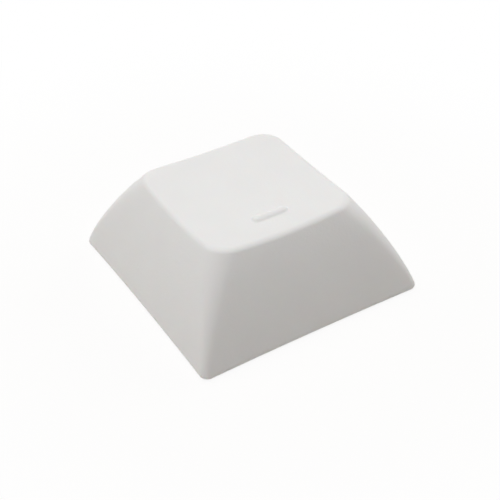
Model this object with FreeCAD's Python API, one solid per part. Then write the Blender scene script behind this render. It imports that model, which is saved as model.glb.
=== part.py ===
# A keycap for a mechanical key switch: one plastic moulding with a dished top, four walls that
# taper and bow outwards, a homing bar, and a hollow underside whose stem has a cross-shaped socket.
# Millimetres. The origin is the middle of the rim's plane, +Z is up and -Y is the typist's side.
import FreeCAD, Part
import math
import os

# Outer form: the rim's outline, the top's outline and the walls between them
base_width = 18.2
base_depth = 18.2
base_corner_radius = 0.5
top_width = 11.8
top_depth = 11.65
top_corner_radius = 1.95
top_setback = 0.36
edge_height = 6.67
wall_bulge = 0.34
rim_edge_radius = 0.3

# Dished top: its depth is measured from the middle of the left and right edges
dish_depth = 0.33
top_edge_radius = 0.6

# Homing bar on the dish, near the typist's edge: its length and width before its foot is blended in
bar_length = 2.9
bar_width = 0.8
bar_height = 0.21
bar_foot_radius = 0.32
bar_to_middle = 3.32

# Hollow underside
wall_thickness = 1.35
roof_thickness = 1.5
cavity_corner_radius = 0.8
cavity_roof_radius = 0.6

# Stem, set back from the rim's plane, and the ribs that tie it to the walls
stem_diameter = 5.5
stem_recess = 0.6
stem_end_chamfer = 0.2
stem_root_chamfer = 0.3
rib_thickness = 0.8
rib_height = 1.1

# Cross-shaped socket for the switch's post
socket_length_x = 4.1
socket_length_y = 4.1
socket_slot_x = 1.3
socket_slot_y = 1.2
socket_depth = 3.8
socket_lead_in = 0.2

# Worked out from the sizes above
dish_radius = ((top_width / 2) ** 2 + dish_depth ** 2) / (2 * dish_depth)
dish_floor = edge_height - dish_depth
dish_centre = FreeCAD.Vector(0, top_setback, dish_floor + dish_radius)
roof_height = dish_floor - roof_thickness

# How far a cutting or joining form runs past the face that it crosses
OVERLAP = 0.5
UP = FreeCAD.Vector(0, 0, 1)


def between(low, high, share):
    """The value a share of the way from low to high."""
    return low + (high - low) * share


def dish_height(distance):
    """The height of the dish at a distance from its middle."""
    return dish_centre.z - math.sqrt(dish_radius ** 2 - distance ** 2)


def level_face(shape, height):
    """The level face of a shape that is nearest to a height."""
    flat = [face for face in shape.Faces if face.BoundBox.ZLength < 1e-4]
    return min(flat, key=lambda face: abs(face.CenterOfMass.z - height))


def bowed_prism(base, top, setback, inset, height):
    """A prism along Y whose left and right sides taper and bow outwards, moved in by an inset."""
    right = []
    left = []
    for z in (0, height / 2, height):
        share = z / edge_height
        half = between(base, top, share) / 2 + 4 * wall_bulge * share * (1 - share) - inset
        right.append(FreeCAD.Vector(setback * share + half, 0, z))
        left.append(FreeCAD.Vector(setback * share - half, 0, z))
    right_side = Part.Arc(*right).toShape()
    top_line = Part.makeLine(right[-1], left[-1])
    left_side = Part.Arc(*left).toShape()
    bottom_line = Part.makeLine(left[0], right[0])
    outline = Part.Face(Part.Wire([right_side, top_line, left_side, bottom_line]))
    length = FreeCAD.Vector(0, base_width + base_depth, 0)
    outline.translate(-length / 2)
    return outline.extrude(length)


def bowed_block(inset, height, low_radius, high_radius):
    """Four bowed walls round a block, with corners whose radius grows from the rim to the edge height."""
    across = bowed_prism(base_width, top_width, 0, inset, height)
    along = bowed_prism(base_depth, top_depth, top_setback, inset, height)
    along.rotate(FreeCAD.Vector(), UP, 90)
    block = across.common(along)
    end_radius = between(low_radius, high_radius, height / edge_height)
    for edge in [edge for edge in block.Edges if edge.BoundBox.ZLength > height / 2]:
        rising = edge.firstVertex().Z < height / 2
        radii = (low_radius, end_radius) if rising else (end_radius, low_radius)
        block = block.makeFillet(*radii, [edge])
    return block


def outer_body():
    """The solid outer form: bowed walls, dished top, rounded top edge and eased rim."""
    height = dish_height(math.hypot(top_width, top_depth) / 2) + OVERLAP
    body = bowed_block(0, height, base_corner_radius, top_corner_radius)
    # The ball's poles and seam lie away from the key's top
    body = body.cut(Part.makeSphere(dish_radius, dish_centre, FreeCAD.Vector(1, 0, 0)))
    dish = [face for face in body.Faces if isinstance(face.Surface, Part.Sphere)][0]
    body = body.makeFillet(top_edge_radius, dish.Edges)
    return body.makeFillet(rim_edge_radius, level_face(body, 0).Edges)


def homing_bar():
    """The bar that a finger feels: a round rod with ball ends, sunk in the roof so that its top stands out."""
    radius = (bar_width ** 2 / 4 + bar_height ** 2) / (2 * bar_height)
    middle = FreeCAD.Vector(0, top_setback - bar_to_middle, dish_height(bar_to_middle) + bar_height - radius)
    end = FreeCAD.Vector((bar_length - bar_width) / 2, 0, 0)
    across = FreeCAD.Vector(radius, 0, 0)
    down = FreeCAD.Vector(0, 0, -radius)
    slant = (across + down) * math.sqrt(0.5)
    slant_back = (down - across) * math.sqrt(0.5)
    right = Part.Arc(end + across, end + slant, end + down).toShape()
    under = Part.makeLine(end + down, down - end)
    left = Part.Arc(down - end, slant_back - end, -end - across).toShape()
    axis = Part.makeLine(-end - across, end + across)
    rod = Part.Face(Part.Wire([right, under, left, axis])).revolve(FreeCAD.Vector(), across, 360)
    rod.translate(middle)
    return rod


def blended_bar(body):
    """The body with the homing bar on its dish, and a fillet round the bar's foot."""
    body = body.fuse(homing_bar())
    foot = []
    for edge in body.Edges:
        point = edge.valueAt((edge.FirstParameter + edge.LastParameter) / 2)
        near_bar = abs(point.x) < bar_length and abs(point.y - top_setback + bar_to_middle) < bar_width
        if near_bar and abs(point.distanceToPoint(dish_centre) - dish_radius) < 1e-3:
            foot.append(edge)
    return body.makeFillet(bar_foot_radius, foot)


def stem():
    """The round post with its eased end, reaching up into the roof."""
    height = roof_height + OVERLAP - stem_recess
    post = Part.makeCylinder(stem_diameter / 2, height, UP * stem_recess)
    return post.makeChamfer(stem_end_chamfer, level_face(post, stem_recess).Edges)


def rib(width, depth):
    """A rib under the roof that runs through the stem from wall to wall."""
    corner = FreeCAD.Vector(-width / 2, -depth / 2, roof_height - rib_height)
    return Part.makeBox(width, depth, rib_height + OVERLAP, corner)


def core():
    """The hollow between the walls, with the stem and the ribs left standing in it."""
    hollow = bowed_block(wall_thickness, roof_height, cavity_corner_radius, cavity_corner_radius)
    hollow = hollow.makeFillet(cavity_roof_radius, level_face(hollow, roof_height).Edges)
    hollow = hollow.cut(stem())
    root = level_face(hollow, roof_height).Wires[1]
    hollow = hollow.makeChamfer(stem_root_chamfer, root.Edges)
    return hollow.cut([rib(base_width, rib_thickness), rib(rib_thickness, base_depth)])


def cross(grow, height):
    """A level cross-shaped outline, each side moved out by grow."""
    long_x = socket_length_x / 2 + grow
    long_y = socket_length_y / 2 + grow
    slot_x = socket_slot_x / 2 + grow
    slot_y = socket_slot_y / 2 + grow
    quarter = [(long_x, slot_x), (slot_y, slot_x), (slot_y, long_y)]
    points = []
    for side_x, side_y in [(1, 1), (-1, 1), (-1, -1), (1, -1)]:
        ordered = quarter if side_x == side_y else quarter[::-1]
        points += [FreeCAD.Vector(side_x * x, side_y * y, height) for x, y in ordered]
    return Part.makePolygon(points + points[:1])


def socket():
    """The cross-shaped hole in the stem, with a lead-in that guides the switch's post."""
    hole = Part.Face(cross(0, stem_recess)).extrude(UP * socket_depth)
    mouth = [cross(socket_lead_in, stem_recess), cross(0, stem_recess + socket_lead_in)]
    return hole.fuse(Part.makeLoft(mouth, True, True))


keycap = blended_bar(outer_body()).cut(core()).cut(socket())
os.makedirs("parts", exist_ok=True)
keycap.Solids[0].exportStep("parts/keycap.step")
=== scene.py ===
import math
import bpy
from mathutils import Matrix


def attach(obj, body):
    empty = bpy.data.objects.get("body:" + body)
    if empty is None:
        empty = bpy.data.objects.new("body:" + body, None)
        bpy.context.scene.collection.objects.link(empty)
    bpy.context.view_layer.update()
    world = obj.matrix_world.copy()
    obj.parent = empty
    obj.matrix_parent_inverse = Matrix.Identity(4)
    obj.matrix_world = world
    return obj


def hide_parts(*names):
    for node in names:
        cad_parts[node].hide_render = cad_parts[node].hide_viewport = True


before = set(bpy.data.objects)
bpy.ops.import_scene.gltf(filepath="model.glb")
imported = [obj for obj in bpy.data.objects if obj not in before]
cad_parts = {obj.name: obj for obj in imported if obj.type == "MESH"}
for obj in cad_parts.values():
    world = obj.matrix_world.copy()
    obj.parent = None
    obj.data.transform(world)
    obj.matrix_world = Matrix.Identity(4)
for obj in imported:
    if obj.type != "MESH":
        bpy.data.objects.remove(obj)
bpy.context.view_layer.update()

from types import SimpleNamespace

import bmesh
import bpy
from bpy.props import FloatProperty, FloatVectorProperty, PointerProperty
from mathutils import Quaternion, Vector

bl_info = {
    "name": "Moulded Keycap",
    "version": (1, 0, 0),
    "blender": (4, 5, 0),
    "location": "3D View > Sidebar > Keycap",
    "description": "Models a one-unit keycap with a homing bar and sets it on a studio floor",
    "category": "Object",
}

MM = 0.001

# How finely the cap is divided
CORNER_STEPS = 8
SIDE_STEPS = 12
WALL_RINGS = 13
HOLLOW_RINGS = 9
EDGE_STEPS = 6
RIM_STEPS = 4
MOUTH_STEPS = 3
CHAMFER_STEPS = 2
ROUND_STEPS = 64

# Helping lengths of the modelling steps, in millimetres
RIM_LIFT = 0.1  # lift of the rim's inner edge while the rim is bridged
SINK = 0.5  # how far a form reaches into the one that it joins
FOOT_DIP = 0.006  # how far the bar's foot starts below the dish
WELD = 0.001  # corners closer than this become one
BAR_WELD = 0.01  # the same, for the ends of the bar
SAME = 1e-4  # places closer than this count as one place

# Shares and angles that pick out faces and edges
UPWARDS = 0.9  # a face is level if its normal points up by more than this
SHARP = math.radians(35)  # an edge is sharp if its faces turn by more than this
SQUARE = math.radians(90)  # the rim's outer edge turns by more than this, its inner edge by less
ROUND_END = 0.999  # a full half circle would leave its side no length
CORNER_END = 1.1  # the corners stop growing rounder at this share of the edge height

# Lamps as name, place in metres, diameter in metres and power in watts, and the place that they point at
LAMPS = (
    ("overhead_softbox", (-0.03, 0.06, 0.25), 0.3, 0.568),
    ("right_softbox", (0.2, 0.02, 0.14), 0.12, 0.131),
    ("left_back_fill", (-0.22, 0.12, 0.04), 0.12, 0.0344),
    ("left_fill", (-0.25, -0.02, 0.03), 0.12, 0.0207),
)
LAMP_AIM = Vector((0, 0, 0.004))
ROOM_STRENGTH = 0.148

# Floor: its size in metres, the share of its own shade that shows by the cap, and where that fades to white
FLOOR_SIZE = 2
FLOOR_SHADE = 0.1
FADE_START = 12 * MM
FADE_END = 40 * MM

# Camera: direction from the cap and roll in degrees, distance in metres, lens and sensor in millimetres
AZIMUTH = -32.05
ELEVATION = 38.35
ROLL = -0.238
DISTANCE = 74.51 * MM
LENS = 73.26
SENSOR = 36
# The cap's middle, and how far to the right of it and above it the camera aims
CAP_MIDDLE = Vector((0, 0, 3.3 * MM))
AIM_RIGHT = 0.184 * MM
AIM_UP = -1.535 * MM
NEAREST = 0.001
FARTHEST = 10


def millimetres(name, description, value):
    """A length that the user may change, given in millimetres and kept in metres."""
    return FloatProperty(name=name, description=description, default=value * MM, min=0, precision=5,
                         unit="LENGTH", subtype="DISTANCE")


def linear(code):
    """An sRGB hex colour as the linear red, green and blue that Blender's shaders take."""
    levels = [int(code[i:i + 2], 16) / 255 for i in (1, 3, 5)]
    return tuple(v / 12.92 if v <= 0.04045 else ((v + 0.055) / 1.055) ** 2.4 for v in levels)


def colour(name, description, code):
    """A colour that the user may change, given as an sRGB hex value."""
    return FloatVectorProperty(name=name, description=description, default=linear(code), min=0, max=1,
                               size=3, subtype="COLOR")


class CapForm(bpy.types.PropertyGroup):
    """Outer sizes of the cap"""
    base_width: millimetres("Base width", "Outside width at the rim's corners", 18.27)
    base_depth: millimetres("Base depth", "Outside depth at the rim's corners", 18.27)
    base_corner_radius: millimetres("Base corner radius", "Corner radius at the rim", 0.6)
    side_draw: millimetres("Side draw", "How far each side of the rim draws in between its corners", 0.1)
    top_width: millimetres("Top width", "Width at the top edge, before it is rounded", 11.8)
    top_depth: millimetres("Top depth", "Depth at the top edge, before it is rounded", 11.65)
    top_corner_radius: millimetres("Top corner radius", "Corner radius at the top edge", 1.6)
    top_setback: millimetres("Top setback", "How far the top lies behind the base's middle", 0.36)
    edge_height: millimetres("Edge height", "Height of the left and right edges at their middles", 6.67)
    wall_bulge: millimetres("Wall bulge", "How far the walls bow outwards halfway up", 0.34)
    rim_radius: millimetres("Rim radius", "Rounding of the rim's outer edge", 0.3)
    dish_depth: millimetres("Dish depth", "How far its middle lies below the left and right edges", 0.33)
    top_edge_radius: millimetres("Top edge radius", "Rounding between the walls and the dish", 0.6)


class HomingBar(bpy.types.PropertyGroup):
    """Sizes of the raised bar that a finger feels"""
    length: millimetres("Length", "Length of the bar, before its foot is blended into the dish", 2.9)
    width: millimetres("Width", "Width of the bar, before its foot is blended into the dish", 0.8)
    height: millimetres("Height", "How far the bar stands above the dish", 0.21)
    foot_radius: millimetres("Foot radius", "Blend between the bar and the dish", 0.32)
    to_middle: millimetres("To middle", "How far the bar lies in front of the dish's middle", 3.32)


class CapUnderside(bpy.types.PropertyGroup):
    """Sizes of the hollow, the stem and the socket"""
    wall_thickness: millimetres("Wall thickness", "Thickness of the walls", 1.35)
    roof_thickness: millimetres("Roof thickness", "Thickness under the dish's middle", 1.5)
    corner_radius: millimetres("Corner radius", "Corner radius of the hollow", 0.8)
    roof_radius: millimetres("Roof radius", "Rounding between the hollow's walls and its roof", 0.6)
    mouth_radius: millimetres("Mouth radius", "Easing of the rim's inner edge", 0.06)
    stem_diameter: millimetres("Stem diameter", "Outside diameter of the stem", 5.5)
    stem_recess: millimetres("Stem recess", "How far the stem's end lies inside the rim", 0.6)
    stem_end_chamfer: millimetres("Stem end chamfer", "Chamfer round the stem's end", 0.2)
    stem_root_chamfer: millimetres("Stem root chamfer", "Flare of the stem at the roof", 0.3)
    rib_thickness: millimetres("Rib thickness", "Thickness of the ribs from the stem to the walls", 0.8)
    rib_height: millimetres("Rib height", "How far the ribs stand down from the roof", 1.1)
    socket_length_x: millimetres("Socket length X", "Length of the cross's side-to-side slot", 4.1)
    socket_length_y: millimetres("Socket length Y", "Length of the cross's front-to-back slot", 4.1)
    socket_slot_x: millimetres("Socket slot X", "Width of the cross's side-to-side slot", 1.3)
    socket_slot_y: millimetres("Socket slot Y", "Width of the cross's front-to-back slot", 1.2)
    socket_depth: millimetres("Socket depth", "Depth of the cross from the stem's end", 3.8)
    socket_lead_in: millimetres("Socket lead-in", "Chamfer round the cross's mouth", 0.2)


class CapFinish(bpy.types.PropertyGroup):
    """Colours of the cap, the floor and the room"""
    plastic: colour("Plastic", "Off-white of the moulded plastic", "#ebebea")
    floor: colour("Floor", "Pale warm studio floor", "#f7f3ee")
    room: colour("Room", "Pale warm light of the room", "#fff8f4")


def in_mm(group):
    """A group's lengths in millimetres, the unit that the cap is modelled in."""
    return SimpleNamespace(**{name: getattr(group, name) / MM for name in group.__annotations__})


def choose(kind, test):
    """Selects, in the mesh being edited, only the verts, edges or faces that pass a test."""
    bpy.ops.mesh.select_mode(type={"verts": "VERT", "edges": "EDGE", "faces": "FACE"}[kind])
    bpy.ops.mesh.select_all(action="DESELECT")
    mesh = bmesh.from_edit_mesh(bpy.context.edit_object.data)
    for part in getattr(mesh, kind):
        part.select_set(bool(test(part)))
    mesh.select_flush_mode()
    bmesh.update_edit_mesh(bpy.context.edit_object.data)


def heights(part):
    """The lowest and highest corner of an edge or face, as two heights."""
    levels = [vert.co.z for vert in part.verts]
    return min(levels), max(levels)


def start_mesh(name):
    """Adds an empty mesh object with a name and goes into edit mode on it."""
    bpy.ops.object.select_all(action="DESELECT")
    bpy.ops.mesh.primitive_plane_add()
    piece = bpy.context.object
    piece.name = piece.data.name = name
    bpy.ops.object.mode_set(mode="EDIT")
    bpy.ops.mesh.select_all(action="SELECT")
    bpy.ops.mesh.delete(type="VERT")
    return piece


def wall_section(form, height, inset=0):
    """Half width, half depth and middle in Y of the walls' level section at a height."""
    share = height / form.edge_height
    bow = 4 * form.wall_bulge * share * (1 - share) - inset
    half_x = (form.base_width + (form.top_width - form.base_width) * share) / 2 + bow
    half_y = (form.base_depth + (form.top_depth - form.base_depth) * share) / 2 + bow
    return half_x, half_y, form.top_setback * share


def corner_radius(form, height):
    """The walls' corner radius, which grows gently at the rim and the top and faster between."""
    share = min(1, height / form.edge_height / CORNER_END)
    growth = form.top_corner_radius - form.base_corner_radius
    return form.base_corner_radius + growth * share ** 2 * (3 - 2 * share)


def dish_radius(form):
    """The radius of the ball that would press the dish."""
    return ((form.top_width / 2) ** 2 + form.dish_depth ** 2) / (2 * form.dish_depth)


def add_outline(half_x, half_y, middle_y, radius, height):
    """Adds a level outline with round corners, as edges alone, to the mesh being edited."""
    bpy.ops.mesh.primitive_plane_add(size=2, location=(0, middle_y, height))
    bpy.ops.transform.resize(value=(half_x, half_y, 1), center_override=(0, middle_y, height))
    bpy.ops.mesh.bevel(offset=radius, segments=CORNER_STEPS, affect="VERTICES")
    bpy.ops.mesh.delete(type="ONLY_FACE")
    shortest = min(half_x, half_y)
    choose("edges", lambda edge: edge.is_wire and edge.calc_length() > shortest)
    bpy.ops.mesh.subdivide(number_cuts=SIDE_STEPS - 1)


def drag(point, shift, reach):
    """Moves the vertex nearest a point, and those round it less and less, by a parabola out to a reach."""
    mesh = bmesh.from_edit_mesh(bpy.context.edit_object.data)
    gap = min((vert.co - Vector(point)).length for vert in mesh.verts)
    choose("verts", lambda vert: (vert.co - Vector(point)).length <= gap)
    bpy.ops.transform.translate(value=shift, use_proportional_edit=True, proportional_size=reach,
                                proportional_edit_falloff="INVERSE_SQUARE")


def model_top(form):
    """The dished top, from a flat outline at the height of the corners."""
    reach = math.hypot(form.top_width, form.top_depth) / 2
    fall = reach ** 2 / (2 * dish_radius(form))
    level = form.edge_height - form.dish_depth + fall
    half_x, half_y, middle = wall_section(form, level)
    add_outline(half_x, half_y, middle, corner_radius(form, level), level)
    # The walls lean in, so the lower middle of each side lies further out than its ends
    side_x, side_y, _ = wall_section(form, form.edge_height)
    for sign in (1, -1):
        drag((sign * half_x, middle, level), (sign * (side_x - half_x), 0, 0), half_y)
        drag((0, middle + sign * half_y, level), (0, sign * (side_y - half_y), 0), half_x)
    bpy.ops.mesh.select_all(action="SELECT")
    bpy.ops.mesh.edge_face_add()
    bpy.ops.mesh.inset(thickness=form.top_edge_radius)
    mesh = bmesh.from_edit_mesh(bpy.context.edit_object.data)
    inner = {vert.index for vert in mesh.verts if vert.select}
    bpy.ops.mesh.delete(type="ONLY_FACE")
    choose("edges", lambda edge: all(vert.index in inner for vert in edge.verts))
    mesh = bmesh.from_edit_mesh(bpy.context.edit_object.data)
    corner = max((vert for vert in mesh.verts if vert.select), key=lambda vert: vert.co.x + vert.co.y)
    mesh.select_history.clear()
    mesh.select_history.add(corner)
    bpy.ops.mesh.fill_grid(span=CORNER_STEPS + SIDE_STEPS)
    drag((0, middle, level), (0, 0, -fall), reach)


def model_shell(form, under, roof):
    """The cap without its stem: dished top, bowed walls, rim and plain hollow, all one closed skin."""
    shell = start_mesh("keycap_moulding")
    model_top(form)
    # Outer walls, ring by ring up to just under the top edge
    highest = form.edge_height - 2 * form.top_edge_radius
    for step in range(WALL_RINGS):
        height = highest * step / (WALL_RINGS - 1)
        half_x, half_y, middle = wall_section(form, height)
        add_outline(half_x, half_y, middle, corner_radius(form, height), height)
    choose("edges", lambda edge: edge.is_wire or edge.is_boundary)
    bpy.ops.mesh.bridge_edge_loops()
    # Hollow, ring by ring up to its roof
    for step in range(HOLLOW_RINGS):
        height = roof * step / (HOLLOW_RINGS - 1)
        half_x, half_y, middle = wall_section(form, height, under.wall_thickness)
        add_outline(half_x, half_y, middle, under.corner_radius, height + (RIM_LIFT if step == 0 else 0))
    choose("edges", lambda edge: edge.is_wire)
    bpy.ops.mesh.bridge_edge_loops()
    # The rim's inner edge is lifted while the two outlines are bridged, since level ones would twist
    choose("edges", lambda edge: edge.is_boundary and heights(edge)[1] < roof / 2)
    bpy.ops.mesh.bridge_edge_loops()
    choose("verts", lambda vert: abs(vert.co.z - RIM_LIFT) < SAME)
    bpy.ops.transform.translate(value=(0, 0, -RIM_LIFT))
    choose("edges", lambda edge: edge.is_boundary)
    bpy.ops.mesh.edge_face_add()
    bpy.ops.mesh.select_all(action="SELECT")
    bpy.ops.mesh.normals_make_consistent(inside=False)
    # Each side has shrunk in a little between its corners, as a moulding does while it cools
    half_x, half_y = form.base_width / 2, form.base_depth / 2
    for sign in (1, -1):
        drag((sign * half_x, 0, 0), (-sign * form.side_draw, 0, 0), half_y)
        drag((0, sign * half_y, 0), (0, -sign * form.side_draw, 0), half_x)
    return shell


def round_edges(radius, steps, test):
    """Rounds the edges that pass a test, set back so that the faces beside them run into the round."""
    choose("edges", test)
    mesh = bmesh.from_edit_mesh(bpy.context.edit_object.data)
    turns = [edge.calc_face_angle() for edge in mesh.edges if edge.select]
    setback = radius * math.tan(sum(turns) / len(turns) / 2)
    bpy.ops.mesh.bevel(offset=setback, segments=steps, affect="EDGES")


def ease_edges(form, under, roof):
    """Rounds the top edge, both edges of the rim and the inside of the roof."""
    low_top = form.edge_height - form.top_edge_radius
    round_edges(form.top_edge_radius, EDGE_STEPS,
                lambda edge: heights(edge)[0] > low_top and edge.calc_face_angle(0) > SHARP)
    round_edges(form.rim_radius, RIM_STEPS,
                lambda edge: heights(edge)[1] < SAME and edge.calc_face_angle(0) > SQUARE)
    round_edges(under.mouth_radius, MOUTH_STEPS,
                lambda edge: heights(edge)[1] < SAME and SHARP < edge.calc_face_angle(0) < SQUARE)
    round_edges(under.roof_radius, EDGE_STEPS,
                lambda edge: roof - SAME < heights(edge)[0] and heights(edge)[1] < roof + SAME)


def add_block(low, high):
    """Adds a box between two corners and goes into edit mode on it."""
    bpy.ops.object.select_all(action="DESELECT")
    size = Vector(high) - Vector(low)
    middle = (Vector(high) + Vector(low)) / 2
    bpy.ops.mesh.primitive_cube_add(size=1, location=middle)
    bpy.ops.object.transform_apply(location=True)
    bpy.ops.object.mode_set(mode="EDIT")
    bpy.ops.mesh.select_all(action="SELECT")
    bpy.ops.transform.resize(value=size, center_override=middle)


def merge_into(body, operation):
    """Joins the tool being edited to the body, or cuts it out of the body, and deletes the tool."""
    tool = bpy.context.object
    bpy.ops.object.mode_set(mode="OBJECT")
    bpy.ops.object.select_all(action="DESELECT")
    bpy.context.view_layer.objects.active = body
    bpy.ops.object.modifier_add(type="BOOLEAN")
    step = body.modifiers[-1]
    step.operation = operation
    step.solver = "EXACT"
    step.object = tool
    bpy.ops.object.modifier_apply(modifier=step.name)
    bpy.data.objects.remove(tool)


def add_ribs(body, form, under, roof):
    """Two ribs that cross under the roof, from wall to wall."""
    # The ends lie inside the leaning walls, past the hollow below and short of the outside above
    cover = under.wall_thickness / 8
    half_x, half_y, middle = wall_section(form, roof + SINK, cover)
    half_rib = under.rib_thickness / 2
    low = roof - under.rib_height
    for end_x, back, front in ((half_x, half_rib, -half_rib), (half_rib, middle + half_y, middle - half_y)):
        add_block((-end_x, front, low), (end_x, back, roof + SINK))
        merge_into(body, "UNION")


def add_stem(body, under, roof):
    """The round stem, chamfered at its end and flared where it meets the roof."""
    bpy.ops.object.select_all(action="DESELECT")
    radius = under.stem_diameter / 2
    tall = roof - under.stem_root_chamfer - under.stem_recess
    bpy.ops.mesh.primitive_cylinder_add(vertices=ROUND_STEPS, radius=radius, depth=tall,
                                        location=(0, 0, under.stem_recess + tall / 2))
    bpy.ops.object.transform_apply(location=True)
    bpy.ops.object.mode_set(mode="EDIT")
    choose("faces", lambda face: face.normal.z > UPWARDS)
    bpy.ops.mesh.extrude_region_move(TRANSFORM_OT_translate={"value": (0, 0, under.stem_root_chamfer)})
    flare = 1 + under.stem_root_chamfer / radius
    bpy.ops.transform.resize(value=(flare, flare, 1), center_override=(0, 0, roof))
    bpy.ops.mesh.extrude_region_move(TRANSFORM_OT_translate={"value": (0, 0, SINK)})
    choose("edges", lambda edge: heights(edge)[1] < under.stem_recess + SAME)
    bpy.ops.mesh.bevel(offset=under.stem_end_chamfer, segments=CHAMFER_STEPS, affect="EDGES")
    merge_into(body, "UNION")


def cut_socket(body, under):
    """The cross-shaped hole for the switch's post, with a lead-in round its mouth."""
    middle = Vector((under.socket_slot_y / 2, under.socket_slot_x / 2, 0))
    arm = Vector((under.socket_length_x / 2, under.socket_length_y / 2, 0))
    low = under.stem_recess + under.socket_lead_in
    tall = under.socket_depth - under.socket_lead_in
    start_mesh("socket_tool")
    bpy.ops.mesh.primitive_plane_add(size=2, location=(0, 0, low))
    bpy.ops.transform.resize(value=(middle.x, middle.y, 1), center_override=(0, 0, low))
    # The four arms grow out of the sides of the cross's middle
    for axis in (0, 1):
        for sign in (1, -1):
            reach = Vector()
            reach[axis] = sign * (arm[axis] - middle[axis])
            choose("edges", lambda edge: all(vert.co[axis] * sign > middle[axis] - SAME
                                             and abs(vert.co[1 - axis]) < middle[1 - axis] + SAME
                                             for vert in edge.verts))
            bpy.ops.mesh.extrude_region_move(TRANSFORM_OT_translate={"value": reach})
    bpy.ops.mesh.select_all(action="SELECT")
    bpy.ops.mesh.extrude_region_move(TRANSFORM_OT_translate={"value": (0, 0, tall)})
    # The mouth's flare is drawn twice as deep as the lead-in, so that it passes the stem's end
    flare = 2 * under.socket_lead_in
    choose("faces", lambda face: heights(face)[1] < low + SAME)
    bpy.ops.mesh.extrude_region_move(TRANSFORM_OT_translate={"value": (0, 0, -flare)})
    for axis in (0, 1):
        for sign in (1, -1):
            spread = Vector()
            spread[axis] = sign * flare
            choose("verts", lambda vert: vert.co.z < low - flare / 2 and vert.co[axis] * sign > 0)
            bpy.ops.transform.translate(value=spread)
    bpy.ops.mesh.select_all(action="SELECT")
    bpy.ops.mesh.normals_make_consistent(inside=False)
    merge_into(body, "DIFFERENCE")


def add_bar(body, form, bar):
    """The homing bar: a low ridge with round ends that runs smoothly into the dish."""
    crest_radius = (bar.width ** 2 / 4 + bar.height ** 2) / (2 * bar.height)
    both = crest_radius + bar.foot_radius
    steepest = math.acos(1 - bar.height / both)
    spread = both * math.sin(steepest) - bar.width / 2
    middle = form.top_setback - bar.to_middle
    foot = form.edge_height - form.dish_depth + bar.to_middle ** 2 / (2 * dish_radius(form))
    # The bar's section: distance in from its outline, and height, up the hollow foot and over the crest
    slopes = [steepest * step / EDGE_STEPS for step in range(1, EDGE_STEPS)]
    rise = [(bar.foot_radius * math.sin(slope), bar.foot_radius * (1 - math.cos(slope)))
            for slope in slopes + [steepest]]
    crest = [(both * math.sin(steepest) - crest_radius * math.sin(slope),
              bar.height - crest_radius * (1 - math.cos(slope))) for slope in slopes[::-1]]
    start_mesh("bar_tool")
    half_x, half_y = bar.length / 2 + spread, bar.width / 2 + spread
    add_outline(half_x, half_y, middle, half_y * ROUND_END, foot - SINK)
    bpy.ops.mesh.select_all(action="SELECT")
    bpy.ops.mesh.remove_doubles(threshold=BAR_WELD)
    bpy.ops.mesh.edge_face_add()
    bpy.ops.mesh.extrude_region_move(TRANSFORM_OT_translate={"value": (0, 0, SINK - FOOT_DIP)})
    bpy.ops.mesh.select_all(action="SELECT")
    bpy.ops.mesh.normals_make_consistent(inside=False)
    choose("faces", lambda face: face.normal.z > UPWARDS)
    last_way, last_height = 0, 0
    for way, height in rise + crest:
        bpy.ops.mesh.inset(thickness=way - last_way, depth=height - last_height)
        last_way, last_height = way, height
    # The bar curves and leans with the dish that it stands on
    fall = bar.length ** 2 / (2 * dish_radius(form))
    drag((0, middle, foot + bar.height), (0, 0, -fall), bar.length)
    bpy.ops.mesh.select_all(action="SELECT")
    bpy.ops.transform.translate(value=(0, 0, fall))
    bpy.ops.transform.rotate(value=math.atan(bar.to_middle / dish_radius(form)), orient_axis="X",
                             center_override=(0, middle, foot))
    bpy.ops.mesh.normals_make_consistent(inside=False)
    merge_into(body, "UNION")


def finish_skin(body):
    """Welds the skin, tests that it is closed, brings it from millimetres to metres and smooths it."""
    body.select_set(True)
    bpy.ops.object.mode_set(mode="EDIT")
    bpy.ops.mesh.select_all(action="SELECT")
    bpy.ops.mesh.remove_doubles(threshold=WELD)
    mesh = bmesh.from_edit_mesh(body.data)
    if not all(edge.is_manifold for edge in mesh.edges):
        raise RuntimeError("The cap's skin is not closed")
    bpy.ops.object.mode_set(mode="OBJECT")
    bpy.ops.transform.resize(value=(MM, MM, MM), center_override=(0, 0, 0))
    bpy.ops.object.transform_apply(location=True, rotation=True, scale=True)
    bpy.ops.object.shade_smooth_by_angle(angle=SHARP)


def add_node(tree, kind, inputs, **settings):
    """Adds a node with its settings, and sets or links each input."""
    made = tree.nodes.new(kind)
    for name, value in settings.items():
        setattr(made, name, value)
    for socket, value in inputs.items():
        if isinstance(value, bpy.types.NodeSocket):
            tree.links.new(value, made.inputs[socket])
        else:
            made.inputs[socket].default_value = value
    return made


def new_material(name):
    """An empty node material and its tree."""
    made = bpy.data.materials.new(name)
    made.use_nodes = True
    made.node_tree.nodes.clear()
    return made, made.node_tree


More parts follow.
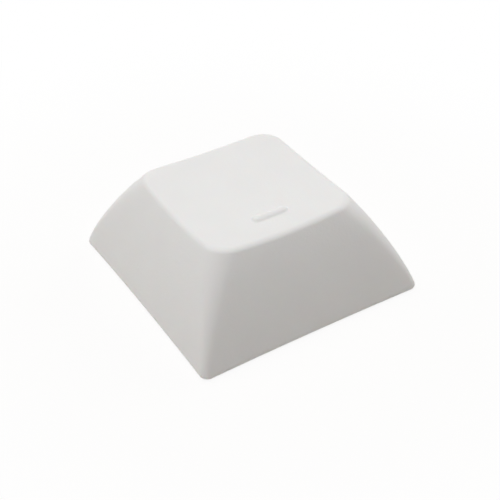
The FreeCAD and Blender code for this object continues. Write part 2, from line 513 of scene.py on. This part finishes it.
def moulded_pbt(finish):
    """PBT, injection-moulded against a spark-eroded tool: an even, matt off-white with a soft, wide sheen."""
    made, tree = new_material("moulded_pbt_spark_eroded")
    place = add_node(tree, "ShaderNodeTexCoord", {}).outputs["Object"]
    # Spark-eroded grain is about 0.05 mm wide; it is drawn coarser so that it shows
    grain_width = 0.16 * MM
    grain_height = 0.02 * MM
    grain = add_node(tree, "ShaderNodeTexNoise", {"Vector": place, "Scale": 1 / grain_width, "Detail": 2.0})
    # Flow of the melt leaves cloudy patches a few millimetres wide, barely paler or darker
    cloud_width = 3 * MM
    cloud = add_node(tree, "ShaderNodeTexNoise", {"Vector": place, "Scale": 1 / cloud_width, "Detail": 1.0})
    tint = add_node(tree, "ShaderNodeMapRange", {
        "Value": cloud.outputs["Fac"], "From Min": 0.3, "From Max": 0.7, "To Min": 0.985, "To Max": 1.0})
    white = add_node(tree, "ShaderNodeVectorMath", {
        0: tuple(finish.plastic), "Scale": tint.outputs["Result"]}, operation="SCALE")
    # The grain's hollows and tops differ a little in gloss
    matt = add_node(tree, "ShaderNodeMapRange", {
        "Value": grain.outputs["Fac"], "From Min": 0.3, "From Max": 0.7, "To Min": 0.5, "To Max": 0.62})
    relief = add_node(tree, "ShaderNodeBump", {
        "Height": grain.outputs["Fac"], "Strength": 0.5, "Distance": grain_height})
    # Light sinks a little way into the unfilled plastic, which softens its shadows
    surface = add_node(tree, "ShaderNodeBsdfPrincipled", {
        "Base Color": white.outputs["Vector"], "Roughness": matt.outputs["Result"], "IOR": 1.57,
        "Subsurface Weight": 0.1, "Subsurface Scale": 0.6 * MM, "Normal": relief.outputs["Normal"]})
    add_node(tree, "ShaderNodeOutputMaterial", {"Surface": surface.outputs["BSDF"]})
    return made


class KEYCAP_OT_mould(bpy.types.Operator):
    """Model the cap as one moulding, from its dish to the cross in its stem"""
    bl_idname = "keycap.mould"
    bl_label = "Mould the Cap"

    def execute(self, context):
        form = in_mm(context.scene.cap_form)
        under = in_mm(context.scene.cap_underside)
        bar = in_mm(context.scene.homing_bar)
        roof = form.edge_height - form.dish_depth - under.roof_thickness
        body = model_shell(form, under, roof)
        ease_edges(form, under, roof)
        bpy.ops.object.mode_set(mode="OBJECT")
        add_ribs(body, form, under, roof)
        add_stem(body, under, roof)
        cut_socket(body, under)
        add_bar(body, form, bar)
        finish_skin(body)
        body.data.materials.append(moulded_pbt(context.scene.cap_finish))
        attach(body, "root")
        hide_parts("keycap")
        return {"FINISHED"}


def seen_directly(tree):
    """1 where the camera looks, straight, by reflection or through a clear piece, and 0 for other light."""
    ray = add_node(tree, "ShaderNodeLightPath", {})
    seen = ray.outputs["Is Camera Ray"]
    for kind in ("Is Glossy Ray", "Is Transmission Ray"):
        either = add_node(tree, "ShaderNodeMath", {0: seen, 1: ray.outputs[kind]}, operation="MAXIMUM")
        seen = either.outputs[0]
    return seen


def pale_floor(finish):
    """Matt pale floor that the camera sees nearly white, with the cap's faint shadow beside the cap."""
    made, tree = new_material("pale_floor")
    place = add_node(tree, "ShaderNodeTexCoord", {}).outputs["Object"]
    away = add_node(tree, "ShaderNodeVectorMath", {0: place}, operation="LENGTH")
    white = add_node(tree, "ShaderNodeMapRange", {
        "Value": away.outputs["Value"], "From Min": FADE_START, "From Max": FADE_END,
        "To Min": 1 - FLOOR_SHADE, "To Max": 1.0}, interpolation_type="SMOOTHSTEP")
    share = add_node(tree, "ShaderNodeMath", {0: seen_directly(tree), 1: white.outputs["Result"]},
                     operation="MULTIPLY")
    paint = add_node(tree, "ShaderNodeBsdfDiffuse", {"Color": (*finish.floor, 1)})
    glow = add_node(tree, "ShaderNodeEmission", {"Color": (1, 1, 1, 1), "Strength": 1.0})
    mix = add_node(tree, "ShaderNodeMixShader", {
        0: share.outputs[0], 1: paint.outputs[0], 2: glow.outputs[0]})
    add_node(tree, "ShaderNodeOutputMaterial", {"Surface": mix.outputs[0]})
    return made


def add_floor(finish):
    """The floor that the cap rests on."""
    bpy.ops.object.select_all(action="DESELECT")
    bpy.ops.mesh.primitive_plane_add(size=FLOOR_SIZE)
    floor = bpy.context.object
    floor.name = "floor"
    floor.data.materials.append(pale_floor(finish))


def light_room(scene, finish):
    """A dim, even light from all round, with a white background for the camera."""
    scene.world = bpy.data.worlds.new("studio")
    scene.world.use_nodes = True
    tree = scene.world.node_tree
    tree.nodes.clear()
    dim = add_node(tree, "ShaderNodeBackground", {"Color": (*finish.room, 1), "Strength": ROOM_STRENGTH})
    white = add_node(tree, "ShaderNodeBackground", {"Color": (1, 1, 1, 1), "Strength": 1.0})
    mix = add_node(tree, "ShaderNodeMixShader", {
        0: seen_directly(tree), 1: dim.outputs[0], 2: white.outputs[0]})
    add_node(tree, "ShaderNodeOutputWorld", {"Surface": mix.outputs[0]})


def add_lamps():
    """Round soft lamps that point at the cap."""
    for name, place, diameter, power in LAMPS:
        bpy.ops.object.light_add(type="AREA", location=place)
        lamp = bpy.context.object
        lamp.name = name
        lamp.data.shape = "DISK"
        lamp.data.size = diameter
        lamp.data.energy = power
        lamp.rotation_euler = (LAMP_AIM - Vector(place)).to_track_quat("-Z", "Y").to_euler()


def add_camera(scene):
    """The camera at the photograph's angle."""
    azimuth, elevation = math.radians(AZIMUTH), math.radians(ELEVATION)
    level = math.cos(elevation)
    back = Vector((math.sin(azimuth) * level, -math.cos(azimuth) * level, math.sin(elevation)))
    right = Vector((math.cos(azimuth), math.sin(azimuth), 0))
    up = back.cross(right)
    target = CAP_MIDDLE + right * AIM_RIGHT + up * AIM_UP
    bpy.ops.object.camera_add(location=target + back * DISTANCE)
    camera = bpy.context.object
    roll = Quaternion((0, 0, 1), math.radians(ROLL))
    camera.rotation_euler = ((-back).to_track_quat("-Z", "Y") @ roll).to_euler()
    camera.data.sensor_width = SENSOR
    camera.data.lens = LENS
    camera.data.clip_start = NEAREST
    camera.data.clip_end = FARTHEST
    scene.camera = camera


class KEYCAP_OT_stage(bpy.types.Operator):
    """Set the floor, the light and the camera"""
    bl_idname = "keycap.stage"
    bl_label = "Set the Stage"

    def execute(self, context):
        context.scene.view_settings.view_transform = "Standard"
        add_floor(context.scene.cap_finish)
        light_room(context.scene, context.scene.cap_finish)
        add_lamps()
        add_camera(context.scene)
        return {"FINISHED"}


class VIEW3D_PT_keycap(bpy.types.Panel):
    """Steps and sizes of the keycap"""
    bl_label = "Keycap"
    bl_idname = "VIEW3D_PT_keycap"
    bl_space_type = "VIEW_3D"
    bl_region_type = "UI"
    bl_category = "Keycap"

    def draw(self, context):
        for operator in (KEYCAP_OT_mould, KEYCAP_OT_stage):
            self.layout.operator(operator.bl_idname)
        for slot in GROUPS:
            column = self.layout.column(align=True)
            group = getattr(context.scene, slot)
            for name in group.__annotations__:
                column.prop(group, name)


GROUPS = {
    "cap_form": CapForm,
    "homing_bar": HomingBar,
    "cap_underside": CapUnderside,
    "cap_finish": CapFinish,
}
CLASSES = (*GROUPS.values(), KEYCAP_OT_mould, KEYCAP_OT_stage, VIEW3D_PT_keycap)


def register():
    """Registers the classes and puts each group of settings on the scene."""
    for made in CLASSES:
        bpy.utils.register_class(made)
    for slot, group in GROUPS.items():
        setattr(bpy.types.Scene, slot, PointerProperty(type=group))


def unregister():
    """Takes the settings and the classes away again."""
    for slot in GROUPS:
        delattr(bpy.types.Scene, slot)
    for made in reversed(CLASSES):
        bpy.utils.unregister_class(made)


def main():
    """Builds the whole scene."""
    register()
    bpy.ops.keycap.mould()
    bpy.ops.keycap.stage()


if __name__ == "__main__":
    main()
